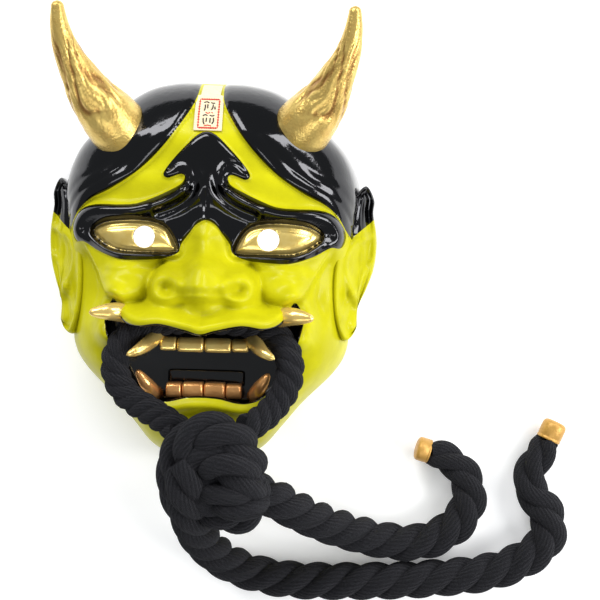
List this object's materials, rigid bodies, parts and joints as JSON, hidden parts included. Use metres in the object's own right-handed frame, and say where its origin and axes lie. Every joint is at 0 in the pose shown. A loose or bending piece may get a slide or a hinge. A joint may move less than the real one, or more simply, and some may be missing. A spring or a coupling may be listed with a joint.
{
  "type": "hannya mask",
  "caption": "Hollow cast hannya mask with horns, a forehead seal and a thick rope knotted through its open mouth, lying face up.",
  "frame": {"origin": "centre of the footprint of the mask and its horns, at the height of the rim that the mask lies on", "axes": "+Z out of the face, +Y towards the crown, +X to the right as seen from the front"},
  "size_m": [0.3505, 0.3704, 0.1182],
  "materials": {
    "lacquered_resin": "satin yellow-green lacquer with gloss black brows and crown, and gold eyes and teeth",
    "horn_gold": "metallic gold paint over grooved resin",
    "seal_paper": "thin cream paper with red and black strokes",
    "black_cotton": "matte black three-strand cotton rope",
    "cap_gold": "matte gold-coloured end cap"
  },
  "bodies": {
    "root": {"mask_shell": "lacquered_resin", "horn_right": "horn_gold", "horn_left": "horn_gold", "paper_seal": "seal_paper", "rope_collar": "black_cotton", "rope_knot": "black_cotton", "rope_tail_long": "black_cotton", "rope_tail_short": "black_cotton", "rope_cap_long": "cap_gold", "rope_cap_short": "cap_gold"}
  },
  "joints": []
}
